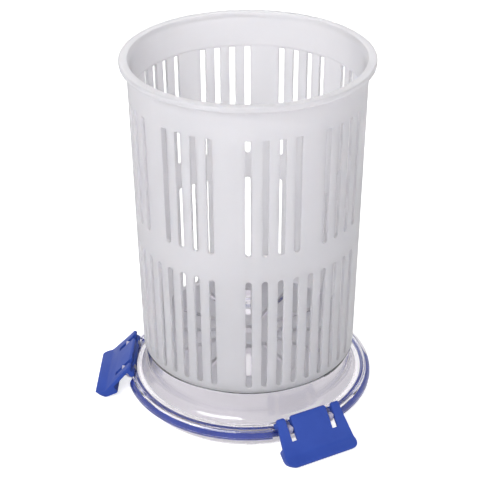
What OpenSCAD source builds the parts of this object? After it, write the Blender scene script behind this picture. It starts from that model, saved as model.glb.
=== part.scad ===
// Draining food keeper: a slotted strainer basket standing on its own clear clip-on lid.
// Millimetres, +Z up. The lid stands on z = 0 and the basket, lid and seal share the Z axis.

/* [Basket] */
// Outside radius of the wall at the foot
basket_foot_r = 55.3; // [54.3:0.1:56.3]
// How far the wall leans outward between foot and flange
basket_flare = 3.15; // [2:0.05:3.6]
// Height from foot to the top of the flange
basket_h = 159; // [152:1:200]
// Wall thickness between the slots
basket_wall = 1.8; // [1.4:0.1:2.2]
// Wall thickness of the plain band under the flange
band_wall = 2.4; // [2.3:0.1:3]
// Thickness of the floor
basket_floor = 2.2; // [1.6:0.1:3]
// How far the floor is raised inside the foot ring
foot_lift = 0.8; // [0.4:0.1:1.5]
// Radial width of the foot ring
foot_w = 4.8; // [4.5:0.1:8]
// How far the flange reaches past the wall
flange_reach = 3.55; // [2:0.05:3.7]
// Thickness of the flange
flange_t = 3; // [2:0.1:4]
// Radius on the flange's outer edges
flange_edge_r = 0.8; // [0.3:0.1:0.9]
// Height of the bevel inside the mouth
mouth_bevel_h = 3; // [1:0.1:6]
// How much the bevel opens the mouth
mouth_bevel_w = 1.75; // [0.5:0.05:2]

/* [Drain slots] */
// Slots across one group
slots_across = 9; // [5:2:9]
// Angle from one slot to the next in a group
slot_pitch = 8; // [7:0.1:9]
// Angle between the middles of the two groups on one side of the basket
group_turn = 82.2; // [78:0.1:90]
// Direction of the plain strip between those two groups, from the front toward the right
strip_turn = -9.3; // [-15:0.1:15]
// Width of a slot
slot_w = 3; // [2:0.1:4]
// Height of the lower tier's bottom above the foot
low_tier_z = 4; // [3.5:0.1:8]
// Length of the lower slots
low_tier_len = 61.7; // [40:0.1:70]
// Height of the upper tier's bottom above the foot
up_tier_z = 79.9; // [75:0.1:85]
// Length of the upper slots
up_tier_len = 60.8; // [40:0.1:62]
// Number of slots in the floor
floor_slots = 12; // [6:1:16]
// Inner end of the floor slots, from the middle
floor_slot_r = 16; // [14:0.5:20]
// Length of the floor slots
floor_slot_len = 26; // [10:0.5:28]
// Radius of the drain hole in the middle of the floor
floor_hole_r = 4; // [2:0.5:8]

/* [Lid] */
// How far the edge ring reaches past the basket's foot
ring_reach = 9.9; // [9.2:0.1:11]
// Height of the edge ring's lower edge above the ground
ring_z = 7.5; // [6:0.1:7.9]
// Height of the flat panel inside the edge ring
panel_z = 12.3; // [12.2:0.1:13]
// Thickness of the panel over the seal channel
panel_t = 1; // [0.9:0.1:1.2]
// How far the edge ring's crest stands above the panel
crest_rise = 1.1; // [0.9:0.1:1.3]
// Radius of the edge ring's outer shoulder
shoulder_r = 4.2; // [3:0.1:4.5]
// How far the crest's foot lies inside the middle of the shoulder's arc
crest_in = 1; // [0.6:0.1:1.2]
// How far the crest's inner side leans outward
crest_lean = 0.6; // [0.3:0.1:0.9]
// Radius on the edge ring's lower outer edge
ring_edge_r = 0.7; // [0.3:0.1:1]
// Thickness of the edge ring's outer wall
ring_wall = 3; // [2.8:0.1:3.2]
// How far the seal's seat stands out from the plug skirt
seat_step = 1.4; // [1.2:0.1:1.8]
// Thickness of the plug skirt
skirt_wall = 1.7; // [1.2:0.1:2]
// Height of the raised middle above the ground
stand_z = 29; // [26:0.5:32]
// How far the raised middle's wall stands inside the basket's foot
stand_inset = 1; // [0.6:0.1:1.5]
// Wall thickness of the raised middle
stand_wall = 1.7; // [1.3:0.1:2]
// Radius on the raised middle's top edge
stand_edge_r = 1.8; // [1:0.1:2.2]
// Distance from the raised middle's bell-shaped foot to the hinge line
bell_inset = 1.9; // [1.7:0.1:2.4]

/* [Seal] */
// Radial width of the seal, which fills the channel
seal_w = 2.4; // [2:0.1:2.8]
// Gap between the seal and the channel's roof
seal_top_gap = 0.1; // [0.05:0.05:0.3]
// Height of the seal
seal_h = 2.9; // [2:0.1:3.2]
// Depth of the groove between the seal's two lips
seal_groove = 0.8; // [0.4:0.1:0.9]

/* [Clips] */
// Direction of the front clip, from the right side toward the back
clip_start = 298; // [280:1:310]
// How far the clips stand open at rest
rest_angle = 42; // [38:1:44]
// How far the hinge line lies inside the edge ring's outer face
hinge_inset = 4; // [3.8:0.1:4.3]
// Height of the hinge line above the ground
hinge_z = 14; // [13.9:0.1:15]
// Radius of a clip's hinge knuckle
knuckle_r = 1.5; // [1.4:0.05:1.6]
// Radius of the hinge bars
bar_r = 1.1; // [0.9:0.05:1.2]
// Running clearance round the hinge bars
bar_gap = 0.05; // [0.03:0.01:0.1]
// Plate thickness of a clip
clip_t = 1.9; // [1.6:0.1:2.2]
// Clearance between a closed clip and the lid
clip_gap = 0.3; // [0.25:0.05:0.5]
// Half width of a clip at its hinge
clip_hinge_w = 18; // [17.5:0.1:19]
// Half width of a clip at its finger lip
clip_lip_w = 20; // [19:0.1:21]
// How far a clip's three tabs stand above the hinge line
tab_rise = 3; // [2.6:0.1:3.2]
// Radius on the upper corners of the tabs
tab_r = 1.9; // [0.8:0.1:2.2]
// Distance from the hinge line to the hook's catch
hook_drop = 11.7; // [11:0.1:12.5]
// How far the hook stands in from the plate
hook_reach = 3.5; // [2:0.1:4]
// Distance from the hinge line to the bend of the finger lip
lip_drop = 16.8; // [16:0.1:17]
// Length of the finger lip past its bend
lip_len = 5; // [4:0.1:5.2]
// Angle the finger lip turns away from the plate
lip_turn = 32; // [25:1:45]
// Radius inside the bend of the finger lip
lip_bend_r = 4; // [2:0.1:5]
// Distance of each lug from the middle of its clip
lug_y = 11.7; // [10:0.1:12.5]
// Thickness of a lug
lug_t = 2.4; // [1.8:0.1:2.6]
// Radius of a lug's round top
lug_r = 1.9; // [1.7:0.05:1.95]
// Side clearance between a lug and the clip
lug_gap = 0.4; // [0.3:0.05:0.6]
// Length of the slots that let the lugs through a clip
lug_slot_len = 9.5; // [8:0.1:10]
// Width of the snap-in mouth of a lug
lug_mouth = 1.7; // [1.2:0.1:1.8]

/* [Hidden] */
cut = 1;
front = 270;
clip_count = 3;
clip_step = 360 / clip_count;
ring_fn = 120;
small_fn = 32;
slot_fn = 16;
flange_r = basket_foot_r + basket_flare + flange_reach;
wall_top = basket_h - flange_t;
band_lift = 0.7;
band_z = up_tier_z + up_tier_len + band_lift;
foot_edge_r = 1.5;
slot_reach = 9;
slots_beside = (slots_across - 1) / 2;
ring_r = basket_foot_r + ring_reach;
hinge_r = ring_r - hinge_inset;
channel_z = panel_z - panel_t;
channel_r = ring_r - ring_wall;
crest_z = panel_z + crest_rise;
shoulder_mid_r = ring_r - shoulder_r;
shoulder_mid_z = crest_z - shoulder_r;
crest_foot_r = shoulder_mid_r - crest_in;
crest_run = crest_lean * (panel_z - shoulder_mid_z) / crest_rise;
stand_r = basket_foot_r - stand_inset;
bell_r = hinge_r - bell_inset - stand_r;
seal_in_r = channel_r - seal_w;
seal_top = channel_z - seal_top_gap;
skirt_r = seal_in_r - seat_step;
skirt_in_r = skirt_r - skirt_wall;
recess_wall = 1;
recess_r = channel_r + recess_wall;
seat_gap = 0.4;
seat_z = hinge_z - knuckle_r - seat_gap;
seat_side = 0.6;
seat_half = asin((clip_hinge_w + seat_side) / hinge_r);
seat_r = (stand_r + bell_r + crest_foot_r) / 2;
plate_in = recess_r + clip_gap - hinge_r;
plate_out = plate_in + clip_t;
leg_top = 1.2;
leg_t = 2.2;
hook_slope = 1.1;
hook_tip = 1;
heel_in = 0.6;
heel_rise = 2.9;
lip_r = 0.95;
lip_corner = 4.5;
lip_tangent = lip_bend_r * tan(lip_turn / 2);
tip_u = plate_out + lip_len * sin(lip_turn) - lip_r * cos(lip_turn);
tip_v = -lip_drop - lip_len * cos(lip_turn) - lip_r * sin(lip_turn);
clip_len = lip_r - tip_v;
tab_over = 0.3;
tab_top = tab_rise + tab_over;
lug_slot_w = lug_t + 2 * lug_gap;
bar_root = 0.6;

// Outline of the wall at a height above the foot
function wall_r(h) = basket_foot_r + basket_flare * h / wall_top;

// Half section of the basket before the slots are cut
module basket_section() {
    difference() {
        union() {
            polygon([
                [0, foot_edge_r],
                [wall_r(foot_edge_r), foot_edge_r],
                [wall_r(wall_top), wall_top],
                [wall_r(wall_top), basket_h],
                [0, basket_h]
            ]);
            square([wall_r(foot_edge_r) - foot_edge_r, basket_h - cut]);
            translate([wall_r(foot_edge_r) - foot_edge_r, foot_edge_r])
                circle(r = foot_edge_r, $fn = small_fn);
            translate([0, wall_top])
                square([flange_r - flange_edge_r, flange_t]);
            translate([0, wall_top + flange_edge_r])
                square([flange_r, flange_t - 2 * flange_edge_r]);
            translate([flange_r - flange_edge_r, wall_top + flange_edge_r])
                circle(r = flange_edge_r, $fn = small_fn);
            translate([flange_r - flange_edge_r, basket_h - flange_edge_r])
                circle(r = flange_edge_r, $fn = small_fn);
        }
        polygon([
            [-cut, foot_lift + basket_floor],
            [wall_r(foot_lift + basket_floor) - basket_wall, foot_lift + basket_floor],
            [wall_r(band_z) - basket_wall, band_z],
            [wall_r(band_z) - band_wall, band_z + band_wall - basket_wall],
            [wall_r(wall_top) - band_wall, basket_h - mouth_bevel_h],
            [wall_r(wall_top) - band_wall + mouth_bevel_w, basket_h],
            [wall_r(wall_top) - band_wall + mouth_bevel_w, basket_h + cut],
            [-cut, basket_h + cut]
        ]);
        translate([-cut, -cut])
            square([basket_foot_r - foot_w + cut, foot_lift + cut]);
    }
}

// Outline of one wall slot with a round lower end
module slot_outline(low, len, round_top) {
    translate([-slot_w / 2, low + slot_w / 2])
        square([slot_w, len - (round_top ? slot_w : slot_w / 2)]);
    translate([0, low + slot_w / 2])
        circle(d = slot_w, $fn = slot_fn);
    if (round_top)
        translate([0, low + len - slot_w / 2])
            circle(d = slot_w, $fn = slot_fn);
}

// One wall slot as a solid to cut, aimed along +X
module slot_cut(low, len, round_top) {
    translate([basket_foot_r - slot_reach, 0, 0])
        rotate([90, 0, 90])
            linear_extrude(height = 2 * slot_reach)
                slot_outline(low, len, round_top);
}

// All the wall slots, two groups on either side: the upper tier leaves out the middle slot of each group
module wall_slots() {
    for (side = [0, 180]) {
        for (group = [-1, 1]) {
            for (i = [-slots_beside : slots_beside]) {
                rotate([0, 0, front + strip_turn + side + group * group_turn / 2 + i * slot_pitch]) {
                    slot_cut(low_tier_z, low_tier_len, true);
                    if (i != 0)
                        slot_cut(up_tier_z, up_tier_len, false);
                }
            }
        }
    }
}

// Radial drain slots and the middle hole of the basket floor
module floor_drains() {
    for (i = [0 : floor_slots - 1]) {
        rotate([0, 0, i * 360 / floor_slots])
            translate([floor_slot_r, 0, -cut])
                linear_extrude(height = foot_lift + basket_floor + 2 * cut) {
                    translate([0, -slot_w / 2])
                        square([floor_slot_len, slot_w]);
                    circle(d = slot_w, $fn = slot_fn);
                    translate([floor_slot_len, 0])
                        circle(d = slot_w, $fn = slot_fn);
                }
    }
    translate([0, 0, -cut])
        cylinder(r = floor_hole_r, h = foot_lift + basket_floor + 2 * cut, $fn = small_fn);
}

// Milky strainer basket
module strainer_basket() {
    color([0.9, 0.9, 0.92])
        translate([0, 0, stand_z])
            difference() {
                rotate_extrude($fn = ring_fn)
                    basket_section();
                wall_slots();
                floor_drains();
            }
}

// Half section of the lid before the clip seats are cut
module lid_section() {
    difference() {
        union() {
            square([skirt_r, panel_z]);
            translate([0, ring_z])
                square([ring_r - ring_edge_r, shoulder_mid_z - ring_z]);
            translate([0, ring_z + ring_edge_r])
                square([ring_r, shoulder_mid_z - ring_z - ring_edge_r]);
            translate([ring_r - ring_edge_r, ring_z + ring_edge_r])
                circle(r = ring_edge_r, $fn = small_fn);
            intersection() {
                translate([shoulder_mid_r, shoulder_mid_z])
                    circle(r = shoulder_r, $fn = 2 * small_fn);
                polygon([
                    [crest_foot_r - crest_run, shoulder_mid_z],
                    [crest_foot_r + 2 * crest_lean, panel_z + 2 * crest_rise],
                    [ring_r + cut, panel_z + 2 * crest_rise],
                    [ring_r + cut, shoulder_mid_z]
                ]);
            }
            square([shoulder_mid_r, panel_z]);
            square([stand_r + bell_r, panel_z + bell_r]);
            square([stand_r, stand_z - stand_edge_r]);
            square([stand_r - stand_edge_r, stand_z]);
            translate([stand_r - stand_edge_r, stand_z - stand_edge_r])
                circle(r = stand_edge_r, $fn = small_fn);
        }
        translate([stand_r + bell_r, panel_z + bell_r])
            circle(r = bell_r, $fn = 2 * small_fn);
        translate([seal_in_r, ring_z - cut])
            square([seal_w, channel_z - ring_z + cut]);
        translate([skirt_r, -cut])
            square([ring_r, ring_z + cut]);
        translate([-cut, -cut])
            square([stand_r - stand_wall + cut, stand_z - stand_wall + cut]);
        difference() {
            translate([-cut, -cut])
                square([skirt_in_r + cut, panel_z + bell_r + cut]);
            translate([stand_r + bell_r, panel_z + bell_r])
                circle(r = bell_r + stand_wall, $fn = 2 * small_fn);
        }
    }
}

// Recess and hinge seat cut into the edge ring for one clip, aimed along +X
module clip_seat_cut() {
    rotate([0, 0, -seat_half])
        rotate_extrude(angle = 2 * seat_half, $fn = ring_fn) {
            translate([seat_r, seat_z])
                square([ring_r - seat_r + cut, stand_z]);
            translate([recess_r, ring_z - cut])
                square([ring_r - recess_r + cut, stand_z]);
        }
}

// One hinge lug of the lid: an upright fin with a snap-in bore, aimed along +X
module lug() {
    rotate([90, 0, 0])
        linear_extrude(height = lug_t, center = true)
            difference() {
                union() {
                    translate([hinge_r, hinge_z])
                        circle(r = lug_r, $fn = small_fn);
                    translate([hinge_r - lug_r, channel_z + panel_t / 2])
                        square([2 * lug_r, hinge_z - channel_z - panel_t / 2]);
                }
                translate([hinge_r, hinge_z])
                    circle(r = bar_r + bar_gap, $fn = small_fn);
                translate([hinge_r - lug_mouth / 2, hinge_z])
                    square([lug_mouth, lug_r + cut]);
            }
}

// Clear lid with its hinge lugs
module lid() {
    color([0.85, 0.86, 0.86, 0.45]) {
        difference() {
            rotate_extrude($fn = ring_fn)
                lid_section();
            for (k = [0 : clip_count - 1])
                rotate([0, 0, clip_start - clip_step * k])
                    clip_seat_cut();
        }
        for (k = [0 : clip_count - 1])
            rotate([0, 0, clip_start - clip_step * k])
                for (side = [-1, 1])
                    translate([0, side * lug_y, 0])
                        lug();
    }
}

// Soft blue seal, gripping its seat above the plug skirt
module lid_seal() {
    color([0.25, 0.35, 0.67])
        rotate_extrude($fn = ring_fn)
            difference() {
                translate([seal_in_r, seal_top - seal_h])
                    square([seal_w, seal_h]);
                translate([seal_in_r + seal_w / 2, seal_top - seal_h])
                    circle(r = seal_groove, $fn = small_fn);
            }
}

// Side profile of a closed clip, with the hinge line at the origin and the outside toward +X
module clip_profile() {
    circle(r = knuckle_r, $fn = small_fn);
    translate([0, leg_top - leg_t])
        square([plate_in + clip_t / 2, leg_t]);
    translate([plate_in + clip_t / 2, tab_rise - clip_t / 2])
        circle(d = clip_t, $fn = small_fn);
    translate([plate_in, -hook_drop])
        square([clip_t, hook_drop + tab_rise - clip_t / 2]);
    difference() {
        polygon([
            [plate_out, -hook_drop],
            [plate_in, -hook_drop],
            [plate_in - hook_reach, -hook_drop - hook_slope],
            [plate_in - hook_reach, -hook_drop - hook_slope - hook_tip],
            [plate_in - heel_in, -clip_len + heel_rise],
            [tip_u, tip_v - lip_r],
            [tip_u + lip_r * cos(lip_turn), tip_v + lip_r * sin(lip_turn)],
            [plate_out + lip_tangent * sin(lip_turn), -lip_drop - lip_tangent * cos(lip_turn)],
            [plate_out, -lip_drop + lip_tangent]
        ]);
        translate([plate_out + lip_bend_r, -lip_drop + lip_tangent])
            circle(r = lip_bend_r, $fn = 2 * small_fn);
    }
    translate([tip_u, tip_v])
        circle(r = lip_r, $fn = small_fn);
}

// Outline of one of the three tabs that a clip's lug slots leave at the hinge
module tab(left, right) {
    translate([left, -lug_slot_len])
        square([right - left, lug_slot_len + tab_top - tab_r]);
    translate([left + tab_r, -lug_slot_len])
        square([right - left - 2 * tab_r, lug_slot_len + tab_top]);
    for (x = [left + tab_r, right - tab_r])
        translate([x, tab_top - tab_r])
            circle(r = tab_r, $fn = small_fn);
}

// Face outline of a clip, seen from outside with the hinge line along X
module clip_face() {
    polygon([
        [-clip_hinge_w, -knuckle_r],
        [-clip_lip_w, -clip_len + lip_corner],
        [clip_lip_w, -clip_len + lip_corner],
        [clip_hinge_w, -knuckle_r]
    ]);
    translate([-clip_lip_w + lip_corner, -clip_len - cut])
        square([2 * (clip_lip_w - lip_corner), lip_corner + 2 * cut]);
    for (side = [-1, 1])
        translate([side * (clip_lip_w - lip_corner), -clip_len + lip_corner])
            circle(r = lip_corner, $fn = small_fn);
    tab(-clip_hinge_w, -lug_y - lug_slot_w / 2);
    tab(-lug_y + lug_slot_w / 2, lug_y - lug_slot_w / 2);
    tab(lug_y + lug_slot_w / 2, clip_hinge_w);
}

// One blue clip in its closed position with the hinge line along Y through the origin
module clip_closed() {
    difference() {
        intersection() {
            rotate([90, 0, 0])
                linear_extrude(height = 2 * clip_lip_w, center = true)
                    clip_profile();
            translate([-clip_len, 0, 0])
                rotate([90, 0, 90])
                    linear_extrude(height = 2 * clip_len)
                        clip_face();
        }
        for (side = [-1, 1])
            translate([-clip_len, side * lug_y - lug_slot_w / 2, -lug_slot_len])
                cube([2 * clip_len, lug_slot_w, 2 * lug_slot_len]);
    }
    for (side = [-1, 1])
        translate([0, side * lug_y, 0])
            rotate([90, 0, 0])
                cylinder(r = bar_r, h = lug_slot_w + 2 * bar_root, center = true, $fn = small_fn);
}

// Clip number k on the lid, standing open at its rest angle
module clip(k) {
    color([0.25, 0.35, 0.67])
        rotate([0, 0, clip_start - clip_step * k])
            translate([hinge_r, 0, hinge_z])
                rotate([0, -rest_angle, 0])
                    clip_closed();
}

// Front clip
module clip_front() {
    clip(0);
}

// Left clip
module clip_left() {
    clip(1);
}

// Back clip
module clip_back() {
    clip(2);
}

lid();
lid_seal();
strainer_basket();
clip_front();
clip_left();
clip_back();
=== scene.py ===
import bmesh
import bpy
import math
from mathutils import Matrix, Vector


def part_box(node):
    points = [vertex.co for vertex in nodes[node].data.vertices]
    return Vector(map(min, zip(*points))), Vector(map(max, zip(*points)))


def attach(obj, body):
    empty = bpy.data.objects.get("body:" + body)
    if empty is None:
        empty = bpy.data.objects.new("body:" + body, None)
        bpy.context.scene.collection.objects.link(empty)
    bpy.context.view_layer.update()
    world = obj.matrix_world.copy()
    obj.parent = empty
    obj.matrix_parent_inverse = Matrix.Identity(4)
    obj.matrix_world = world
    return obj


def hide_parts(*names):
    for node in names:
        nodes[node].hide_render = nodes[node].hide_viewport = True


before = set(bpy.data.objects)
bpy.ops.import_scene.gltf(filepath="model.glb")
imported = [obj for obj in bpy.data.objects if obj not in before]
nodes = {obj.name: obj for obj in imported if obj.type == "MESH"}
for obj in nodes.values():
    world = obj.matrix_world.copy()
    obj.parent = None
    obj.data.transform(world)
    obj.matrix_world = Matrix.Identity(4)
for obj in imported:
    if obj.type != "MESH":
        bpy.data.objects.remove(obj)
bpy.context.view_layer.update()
scene = bpy.context.scene
print("frame loaded:", ", ".join(sorted(nodes)))


# small helpers for node trees

def addNode(tree, kind, **sockets):
    node = tree.nodes.new(kind)
    for key, value in sockets.items():
        node.inputs[key].default_value = value
    return node


def newMaterial(name, sockets):
    mat = bpy.data.materials.new(name)
    mat.use_nodes = True
    tree = mat.node_tree
    tree.nodes.clear()
    out = addNode(tree, "ShaderNodeOutputMaterial")
    bsdf = addNode(tree, "ShaderNodeBsdfPrincipled", **sockets)
    tree.links.new(bsdf.outputs["BSDF"], out.inputs["Surface"])
    return mat, tree, bsdf


def grain(tree, scale, detail=3):
    coord = addNode(tree, "ShaderNodeTexCoord")
    noise = addNode(tree, "ShaderNodeTexNoise", Scale=scale, Detail=detail)
    tree.links.new(coord.outputs["Object"], noise.inputs["Vector"])
    return noise.outputs["Fac"]


def ramp(tree, fac, low, high, start=0.3, end=0.7):
    node = addNode(tree, "ShaderNodeValToRGB")
    for element, place, colour in zip(node.color_ramp.elements, (start, end), (low, high)):
        element.position = place
        element.color = (*colour, 1)
    tree.links.new(fac, node.inputs["Fac"])
    return node.outputs["Color"]


def span(tree, fac, low, high):
    node = addNode(tree, "ShaderNodeMapRange", **{"To Min": low, "To Max": high})
    tree.links.new(fac, node.inputs["Value"])
    return node.outputs["Result"]


def most(tree, one, other):
    node = addNode(tree, "ShaderNodeMath")
    node.operation = "MAXIMUM"
    tree.links.new(one, node.inputs[0])
    tree.links.new(other, node.inputs[1])
    return node.outputs[0]


def fineBump(tree, bsdf, scale, detail, strength, distance):
    node = addNode(tree, "ShaderNodeBump", Strength=strength, Distance=distance)
    tree.links.new(grain(tree, scale, detail), node.inputs["Height"])
    tree.links.new(node.outputs["Normal"], bsdf.inputs["Normal"])


def linear(level):
    return level / 12.92 if level < 0.0404 else ((level + 0.055) / 1.055) ** 2.4


def srgb(*levels):
    return tuple(linear(level / 255) for level in levels)


# edges and shading come from modifiers, so the CAD meshes stay as they are
edgeFinish = {"shadeAngle": 32, "bevelAngle": 40, "bevelParts": 2, "weldReach": 2e-6}


def softShadeGroup(angle):
    group = bpy.data.node_groups.new("softShade", "GeometryNodeTree")
    for way in ("INPUT", "OUTPUT"):
        group.interface.new_socket("Geometry", in_out=way, socket_type="NodeSocketGeometry")
    inp = addNode(group, "NodeGroupInput")
    out = addNode(group, "NodeGroupOutput")
    smooth = addNode(group, "GeometryNodeSetShadeSmooth")
    smooth.domain = "FACE"
    sharp = addNode(group, "GeometryNodeSetShadeSmooth", **{"Shade Smooth": False})
    sharp.domain = "EDGE"
    edge = addNode(group, "GeometryNodeInputMeshEdgeAngle")
    test = addNode(group, "FunctionNodeCompare", B=angle)
    test.operation = "GREATER_THAN"
    group.links.new(inp.outputs[0], smooth.inputs["Geometry"])
    group.links.new(smooth.outputs["Geometry"], sharp.inputs["Geometry"])
    group.links.new(edge.outputs["Unsigned Angle"], test.inputs["A"])
    group.links.new(test.outputs["Result"], sharp.inputs["Selection"])
    group.links.new(sharp.outputs["Geometry"], out.inputs[0])
    return group


softShade = softShadeGroup(math.radians(edgeFinish["shadeAngle"]))


def shadeSoftly(piece):
    piece.modifiers.new("softShade", "NODES").node_group = softShade


def roundEdges(piece, width):
    soft = piece.modifiers.new("edgeRound", "BEVEL")
    soft.width = width
    soft.segments = edgeFinish["bevelParts"]
    soft.limit_method = "ANGLE"
    soft.angle_limit = math.radians(edgeFinish["bevelAngle"])


def dress(node, mat, edge=0):
    part = nodes[node]
    part.data.materials.clear()
    part.data.materials.append(mat)
    if edge:
        part.modifiers.new("weld", "WELD").merge_threshold = edgeFinish["weldReach"]
        roundEdges(part, edge)
    shadeSoftly(part)


# milky basket, blue clips and blue seal: cloudy colour, uneven gloss and a fine grain
basketLook = {
    "light": srgb(243, 241, 245), "dark": srgb(237, 236, 240), "cloudScale": 18,
    "rough": (0.38, 0.46), "roughScale": 240,
    "bump": {"scale": 900, "detail": 4, "strength": 0.06, "distance": 0.0004},
    "sockets": {"Transmission Weight": 0.55, "IOR": 1.38, "Subsurface Weight": 0.9,
                "Subsurface Radius": (1, 0.96, 0.92), "Subsurface Scale": 0.008},
}
clipLook = {
    "light": srgb(57, 84, 173), "dark": srgb(49, 74, 160), "cloudScale": 45,
    "rough": (0.36, 0.48), "roughScale": 300,
    "bump": {"scale": 1100, "detail": 4, "strength": 0.08, "distance": 0.0003},
    "sockets": {"Specular IOR Level": 0.12},
}
sealLook = {
    "light": srgb(47, 70, 170), "dark": srgb(41, 62, 158), "cloudScale": 60,
    "rough": (0.45, 0.6), "roughScale": 260,
    "sockets": {"Specular IOR Level": 0},
}


def mouldedPlastic(name, look):
    mat, tree, bsdf = newMaterial(name, look["sockets"])
    colour = ramp(tree, grain(tree, look["cloudScale"]), look["dark"], look["light"])
    tree.links.new(colour, bsdf.inputs["Base Color"])
    rough = span(tree, grain(tree, look["roughScale"]), *look["rough"])
    tree.links.new(rough, bsdf.inputs["Roughness"])
    if "bump" in look:
        fineBump(tree, bsdf, **look["bump"])
    return mat


# hinge lugs: two on each of the three hinge lines
lugPlan = {"turns": (298, 178, 58), "radius": 0.0612, "z": 0.014, "aside": 0.0117}


def lugPlaces(plan):
    places = []
    for turn in plan["turns"]:
        ahead = Vector((math.cos(math.radians(turn)), math.sin(math.radians(turn)), 0))
        along = Vector((-ahead.y, ahead.x, 0))
        hinge = ahead * plan["radius"] + Vector((0, 0, plan["z"]))
        places += [(hinge + along * side * plan["aside"], ahead, along) for side in (-1, 1)]
    return places


# clear lid plastic, frosted at the lugs
lidLook = {
    "rough": (0.02, 0.07), "roughScale": 60, "lugRough": 0.6, "lugReach": (0.0026, 0.0029),
    "bump": {"scale": 35, "detail": 3, "strength": 0.03, "distance": 0.0006},
    "sockets": {"Base Color": (*srgb(242, 239, 244), 1), "Transmission Weight": 0.98, "IOR": 1.49},
}


def nearLugs(tree, full, none):
    coord = addNode(tree, "ShaderNodeTexCoord")
    near = None
    for place, *_ in lugPlaces(lugPlan):
        gap = addNode(tree, "ShaderNodeVectorMath")
        gap.operation = "DISTANCE"
        gap.inputs[1].default_value = place
        tree.links.new(coord.outputs["Object"], gap.inputs[0])
        fade = addNode(tree, "ShaderNodeMapRange", **{"From Min": none, "From Max": full})
        tree.links.new(gap.outputs["Value"], fade.inputs["Value"])
        near = most(tree, near, fade.outputs["Result"]) if near else fade.outputs["Result"]
    return near


def clearPlastic(look):
    mat, tree, bsdf = newMaterial("clearPlastic", look["sockets"])
    plain = span(tree, grain(tree, look["roughScale"]), *look["rough"])
    frost = span(tree, nearLugs(tree, *look["lugReach"]), 0, look["lugRough"])
    tree.links.new(most(tree, plain, frost), bsdf.inputs["Roughness"])
    fineBump(tree, bsdf, **look["bump"])
    return mat


# frosted clear plastic of the lug fins
finLook = {"Base Color": (*srgb(226, 222, 246), 1), "Transmission Weight": 0.4, "IOR": 1.49,
           "Roughness": 0.4}
clipShape = {"nodes": ("clip_front", "clip_left", "clip_back"), "edge": 0.0003}

milky = mouldedPlastic("milkyPlastic", basketLook)
blue = mouldedPlastic("bluePlastic", clipLook)
silicone = mouldedPlastic("blueSilicone", sealLook)
frosted = newMaterial("frostedPlastic", finLook)[0]
dress("lid", clearPlastic(lidLook))
for name in clipShape["nodes"]:
    dress(name, blue, clipShape["edge"])
print("materials made, lid and clips dressed")


# helpers for the pieces that are built here

def arcTurns(start, end, parts):
    return [math.radians(start + (end - start) * k / parts) for k in range(parts + 1)]


def bridge(bm, ringA, ringB):
    for k in range(len(ringA)):
        j = (k + 1) % len(ringA)
        bm.faces.new((ringA[k], ringA[j], ringB[j], ringB[k]))


def newPiece(name, bm, mat):
    bmesh.ops.recalc_face_normals(bm, faces=bm.faces)
    mesh = bpy.data.meshes.new(name)
    bm.to_mesh(mesh)
    bm.free()
    mesh.materials.append(mat)
    piece = bpy.data.objects.new(name, mesh)
    scene.collection.objects.link(piece)
    return piece


# seal ring: the foot of its outer face and part of its top press on the lid,
# and the film of air between them gives the pale strip that shows through the lid's ring
sealShape = {
    "width": 0.0024, "wallPress": 0.00005, "roofPress": 0.00015, "pressedFoot": 0.0024,
    "pressedTop": 0.6, "film": 0.0002, "hang": 0.0007, "groove": 0.0008, "grooveParts": 8,
    "steps": 240,
}


def sealRing(look, mat):
    low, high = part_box("lid_seal")
    bottom, top = low[2] - look["hang"], high[2]
    roof, knee = top + look["roofPress"], bottom + look["pressedFoot"]
    wall, outer = high[0] + look["wallPress"], high[0] - look["film"]
    inner = high[0] - look["width"]
    step = inner + look["pressedTop"] * look["width"]
    mid, groove = (inner + outer) / 2, look["groove"]
    outline = [(inner, roof), (inner, bottom)]
    outline += [(mid + groove * math.cos(a), bottom + groove * math.sin(a))
                for a in arcTurns(180, 0, look["grooveParts"])]
    outline += [(wall, bottom), (wall, knee), (outer, knee)]
    outline += [(outer, top), (step, top), (step, roof)]
    bm = bmesh.new()
    rings = [[bm.verts.new((r * math.cos(turn), r * math.sin(turn), z)) for r, z in outline]
             for turn in arcTurns(0, 360, look["steps"])[:-1]]
    for here, there in zip(rings, rings[1:] + rings[:1]):
        bridge(bm, here, there)
    piece = newPiece("sealRing", bm, mat)
    shadeSoftly(piece)
    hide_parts("lid_seal")
    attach(piece, "lid_body")


sealRing(sealShape, silicone)
print("seal ring set in the lid")


# lug fins that fill the clips' slots, round about the hinge line so the clips turn freely past them
finShape = {
    "inner": 0.0016, "outer": 0.0057, "thick": 0.0022, "start": 10, "end": -90, "parts": 12,
    "edge": 0.0003,
}


def lugFins(look, mat):
    bm = bmesh.new()
    turns = arcTurns(look["start"], look["end"], look["parts"])
    outline = [(look["outer"] * math.cos(a), look["outer"] * math.sin(a)) for a in turns]
    outline += [(look["inner"] * math.cos(a), look["inner"] * math.sin(a)) for a in turns[::-1]]
    last = len(outline) - 1
    for place, ahead, along in lugPlaces(lugPlan):
        sides = []
        for way in (-1, 1):
            aside = along * way * look["thick"] / 2
            sides.append([bm.verts.new(place + ahead * u + Vector((0, 0, v)) + aside)
                          for u, v in outline])
        bridge(bm, *sides)
        for face in sides:
            for k in range(look["parts"]):
                bm.faces.new((face[k], face[k + 1], face[last - k - 1], face[last - k]))
    piece = newPiece("lugFins", bm, mat)
    roundEdges(piece, look["edge"])
    shadeSoftly(piece)
    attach(piece, "lid_body")


lugFins(finShape, frosted)
print("lug fins set on the hinge lines")


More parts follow.
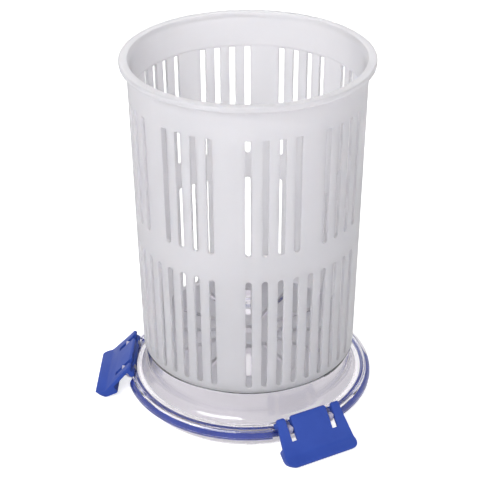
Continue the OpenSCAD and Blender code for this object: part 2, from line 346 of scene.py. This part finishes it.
# strainer basket: one shell with rounded slot edges, heights measured up from its foot
basketShape = {
    "footRadius": 0.0553, "flare": 0.00315, "wall": 0.0018,
    "bandWall": 0.0024, "bandZ": 0.1414, "bandStep": 0.0006,
    "footInner": 0.0505, "footRound": 0.0015,
    "floorLow": 0.0008, "floorTop": 0.003, "floorHole": 0.004,
    "flange": 0.003, "rimRound": 0.0008, "bevelHeight": 0.003, "bevelWidth": 0.00175,
    "across": 9, "pitch": 8.0, "groupTurn": 82.2, "strip": 260.7, "halfSlot": 0.0015,
    "lowTier": (0.004, 0.0657), "lowReach": (0.0034, 0.067),
    "upTier": (0.0799, 0.1407), "upReach": (0.0786, 0.1414),
    "floorTier": (0.0145, 0.0435), "floorReach": (0.01, 0.047), "floorSlots": 12, "floorTurn": 270,
    "slotColumns": 4, "gapColumns": (4, 8), "arcParts": 4, "edge": 0.0003,
}


def strainerBasket(look, mat):
    low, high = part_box("strainer_basket")
    lift, rim, rimTop = low[2], high[0], high[2] - low[2]
    wallTop = rimTop - look["flange"]
    half, across, pitch = look["halfSlot"], look["across"], look["pitch"]
    columns, front = look["slotColumns"], look["floorTurn"]
    wallSides, floorSides = ("out", "in"), ("top", "under")
    bm = bmesh.new()
    pool = {}

    # columns of the wall: four groups of slots with plain stretches between them
    groups = [look["strip"] + side + way * look["groupTurn"] / 2
              for side in (0, 180) for way in (-1, 1)]
    plain = [look["groupTurn"] - across * pitch, 180 - look["groupTurn"] - across * pitch]
    wallTurns, starts = [], []
    for g, middle in enumerate(groups):
        starts.append(len(wallTurns))
        first, after = middle - across * pitch / 2, middle + across * pitch / 2
        wallTurns += [first + k * pitch / columns for k in range(columns * across)]
        gap = look["gapColumns"][g % 2]
        wallTurns += [after + k * plain[g % 2] / gap for k in range(gap)]
    count = len(wallTurns)
    floorStep = 360 / count
    floorShift = round((front - wallTurns[0]) / floorStep)  # column under the front floor slot
    floorTurns = [front + (k - floorShift) * floorStep for k in range(count)]

    def wallRadius(h):
        return look["footRadius"] + look["flare"] * h / wallTop

    # h is a height on the wall and a radius on the floor
    def surface(side, h):
        if side == "out":
            return wallRadius(h), h
        if side == "in":
            return wallRadius(h) - look["wall"], h
        return h, look["floorTop"] if side == "top" else look["floorLow"]

    def spot(radius, turn, z):
        a = math.radians(turn)
        return radius * math.cos(a), radius * math.sin(a), z + lift

    def node(side, column, h):
        key = (side, column % count, round(h, 7))
        if key not in pool:
            turns = wallTurns if side in wallSides else floorTurns
            radius, z = surface(side, h)
            pool[key] = bm.verts.new(spot(radius, turns[column % count], z))
        return pool[key]

    def ringOf(side, h):
        return [node(side, k, h) for k in range(count)]

    def freeRing(radius, z):
        return [bm.verts.new(spot(radius, turn, z)) for turn in wallTurns]

    def cellRows(tier, reach):
        bottom, top = tier[0] + half, tier[1] - half
        return [reach[0], (reach[0] + bottom) / 2, bottom, top, (reach[1] + top) / 2, reach[1]]

    def plainCell(side, first, wide, tier, reach):
        rows = cellRows(tier, reach)
        for k in range(first, first + wide):
            for below, above in zip(rows, rows[1:]):
                bm.faces.new((node(side, k, below), node(side, k + 1, below),
                              node(side, k + 1, above), node(side, k, above)))

    def slotEdge(side, middle, tier, parts, square):
        edge = [(half * math.cos(a), tier[0] + half + half * math.sin(a))
                for a in arcTurns(180, 360, parts)]
        for k, a in enumerate(arcTurns(0, 180, parts)):
            x, y = half * math.cos(a), half * math.sin(a)
            if square:  # up one side, across the top and down the other
                way = 4 * k / parts
                x, y = half * max(-1, min(1, 2 - way)), half * min(1, way, 4 - way)
            edge.append((x, tier[1] - half + y))
        verts = []
        for x, h in edge:
            radius, z = surface(side, h)
            turn = middle + math.degrees(math.asin(x / radius))
            verts.append(bm.verts.new(spot(radius, turn, z)))
        return verts

    def slotCell(side, first, wide, middle, tier, reach, square):
        last = first + wide
        lowest, lowMid, bottom, top, highMid, highest = cellRows(tier, reach)
        around = [node(side, first, bottom), node(side, first, lowMid)]
        around += [node(side, first + k, lowest) for k in range(wide + 1)]
        around += [node(side, last, h) for h in (lowMid, bottom, top, highMid)]
        around += [node(side, last - k, highest) for k in range(wide + 1)]
        around += [node(side, first, highMid), node(side, first, top)]
        hole = slotEdge(side, middle, tier, len(around) // 2 - 1, square)
        bridge(bm, around, hole)
        return hole

    def slotThrough(sides, *place):
        bridge(bm, *[slotCell(side, *place) for side in sides])

    def chain(rings):
        for ringA, ringB in zip(rings, rings[1:]):
            bridge(bm, ringA, ringB)

    def arc(radius, z, size, start, end):
        return [freeRing(radius + size * math.cos(a), z + size * math.sin(a))
                for a in arcTurns(start, end, look["arcParts"])]

    # wall with its two tiers
    for tier, reach, upper in ((look["lowTier"], look["lowReach"], False),
                               (look["upTier"], look["upReach"], True)):
        for g, base in enumerate(starts):
            for i in range(across):
                first, middle = base + columns * i, groups[g] + (i - across // 2) * pitch
                if upper and i == across // 2:  # the middle slot is left out up here
                    for side in wallSides:
                        plainCell(side, first, columns, tier, reach)
                else:
                    slotThrough(wallSides, first, columns, middle, tier, reach, upper)
            for side in wallSides:
                plainCell(side, base + columns * across, look["gapColumns"][g % 2], tier, reach)
    for side in wallSides:
        chain([ringOf(side, look["lowReach"][1]), ringOf(side, look["upReach"][0])])

    # floor with its radial slots
    sector = count // look["floorSlots"]
    for i in range(look["floorSlots"]):
        first = floorShift - sector // 2 + i * sector
        middle = front + i * 360 / look["floorSlots"]
        slotThrough(floorSides, first, sector, middle, look["floorTier"], look["floorReach"], False)

    # foot ring, rim and mouth close the shell
    footRound, rimRound = look["footRound"], look["rimRound"]
    foot = [ringOf("out", look["lowReach"][0])]
    foot += arc(wallRadius(footRound) - footRound, footRound, footRound, 0, -90)
    foot += [freeRing(look["footInner"], 0), freeRing(look["footInner"], look["floorLow"])]
    chain(foot + [ringOf("under", look["floorReach"][1])])
    corner = freeRing(wallRadius(look["floorTop"]) - look["wall"], look["floorTop"])
    chain([ringOf("in", look["lowReach"][0]), corner, ringOf("top", look["floorReach"][1])])
    hole = [freeRing(look["floorHole"], z) for z in (look["floorTop"], look["floorLow"])]
    chain([ringOf("top", look["floorReach"][0])] + hole + [ringOf("under", look["floorReach"][0])])
    mouth, rimMid = wallRadius(wallTop) - look["bandWall"], rim - rimRound
    stepZ = look["bandZ"] + look["bandStep"]
    top = [ringOf("out", look["upReach"][1]), freeRing(wallRadius(wallTop), wallTop)]
    top += arc(rimMid, wallTop + rimRound, rimRound, -90, 0)
    top += arc(rimMid, rimTop - rimRound, rimRound, 0, 90)
    top += [freeRing(mouth + look["bevelWidth"], rimTop)]
    top += [freeRing(mouth, rimTop - look["bevelHeight"])]
    top += [freeRing(wallRadius(stepZ) - look["bandWall"], stepZ), ringOf("in", look["upReach"][1])]
    chain(top)

    for face in bm.faces:
        face.smooth = True
    piece = newPiece("strainerBasket", bm, mat)
    roundEdges(piece, look["edge"])
    piece.modifiers.new("evenShade", "WEIGHTED_NORMAL")
    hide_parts("strainer_basket")
    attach(piece, "basket_body")
    return piece


basket = strainerBasket(basketShape, milky)
print("basket shell:", len(basket.data.polygons), "faces")


# floor and world are white where they are seen, also mirrored in or through the plastic,
# and dimmer as light on the object
studio = {
    "floorSize": 6.0, "floorTone": 0.9, "floorRough": 0.9, "floorGlow": 0.73, "clearGlow": 0.34,
    "worldLight": 0.3,
}


def paleFloor(look):
    half, tone = look["floorSize"] / 2, look["floorTone"]
    mesh = bpy.data.meshes.new("floor")
    corners = [(-half, -half, 0), (half, -half, 0), (half, half, 0), (-half, half, 0)]
    mesh.from_pydata(corners, [], [(0, 1, 2, 3)])
    floor = bpy.data.objects.new("floor", mesh)
    scene.collection.objects.link(floor)
    mat, tree, bsdf = newMaterial("floorPaper", {
        "Base Color": (tone, tone, tone, 1), "Roughness": look["floorRough"],
        "Specular IOR Level": 0, "Emission Color": (1, 1, 1, 1)})
    path = addNode(tree, "ShaderNodeLightPath")
    direct = span(tree, path.outputs["Is Camera Ray"], 0, look["floorGlow"])
    mirrored = span(tree, path.outputs["Is Glossy Ray"], 0, look["clearGlow"])
    through = span(tree, path.outputs["Is Transmission Ray"], 0, look["clearGlow"])
    glow = most(tree, direct, most(tree, mirrored, through))
    tree.links.new(glow, bsdf.inputs["Emission Strength"])
    mesh.materials.append(mat)


def softWorld(look):
    world = bpy.data.worlds.new("studio")
    scene.world = world
    world.use_nodes = True
    tree = world.node_tree
    tree.nodes.clear()
    out = addNode(tree, "ShaderNodeOutputWorld")
    back = addNode(tree, "ShaderNodeBackground", Color=(1, 1, 1, 1))
    path = addNode(tree, "ShaderNodeLightPath")
    clean = most(tree, path.outputs["Is Glossy Ray"], path.outputs["Is Transmission Ray"])
    seen = most(tree, path.outputs["Is Camera Ray"], clean)
    tree.links.new(span(tree, seen, look["worldLight"], 1), back.inputs["Strength"])
    tree.links.new(back.outputs[0], out.inputs[0])


lamps = {
    "windowLeft": {"place": (-0.43, -0.64, 0.68), "aim": (0, 0, 0.06),
                   "size": (0.7, 0.46), "power": 7},
    "fillRight": {"place": (0.9, -0.5, 0.5), "aim": (0, 0, 0.08),
                  "size": (0.8, 0.8), "power": 2.9},
    "softBack": {"place": (0, 0.78, 0.68), "aim": (0, 0, 0.06),
                 "size": (0.9, 0.5), "power": 2.6},
}


def areaLamp(name, look):
    lamp = bpy.data.lights.new(name, "AREA")
    lamp.shape = "RECTANGLE"
    lamp.size, lamp.size_y = look["size"]
    lamp.energy = look["power"]
    obj = bpy.data.objects.new(name, lamp)
    obj.location = look["place"]
    ray = Vector(look["aim"]) - Vector(look["place"])
    obj.rotation_euler = ray.to_track_quat("-Z", "Y").to_euler()
    scene.collection.objects.link(obj)


photoCamera = {
    "place": (-0.004163, -0.64845, 0.45191), "tilt": 60.5845, "roll": -0.301,
    "focalPixels": 1451.5, "photoPixels": 480, "sensor": 36, "clipStart": 0.01,
}


def photoView(look):
    cam = bpy.data.cameras.new("photoCamera")
    cam.sensor_width = look["sensor"]
    cam.lens = look["focalPixels"] / look["photoPixels"] * look["sensor"]
    cam.clip_start = look["clipStart"]
    obj = bpy.data.objects.new("photoCamera", cam)
    tilt = Matrix.Rotation(math.radians(look["tilt"]), 4, "X")
    roll = Matrix.Rotation(math.radians(look["roll"]), 4, "Z")
    obj.matrix_world = Matrix.Translation(look["place"]) @ tilt @ roll
    scene.collection.objects.link(obj)
    scene.camera = obj


paleFloor(studio)
softWorld(studio)
for name, look in lamps.items():
    areaLamp(name, look)
photoView(photoCamera)
scene.view_settings.view_transform = "Standard"
print("studio and camera set")
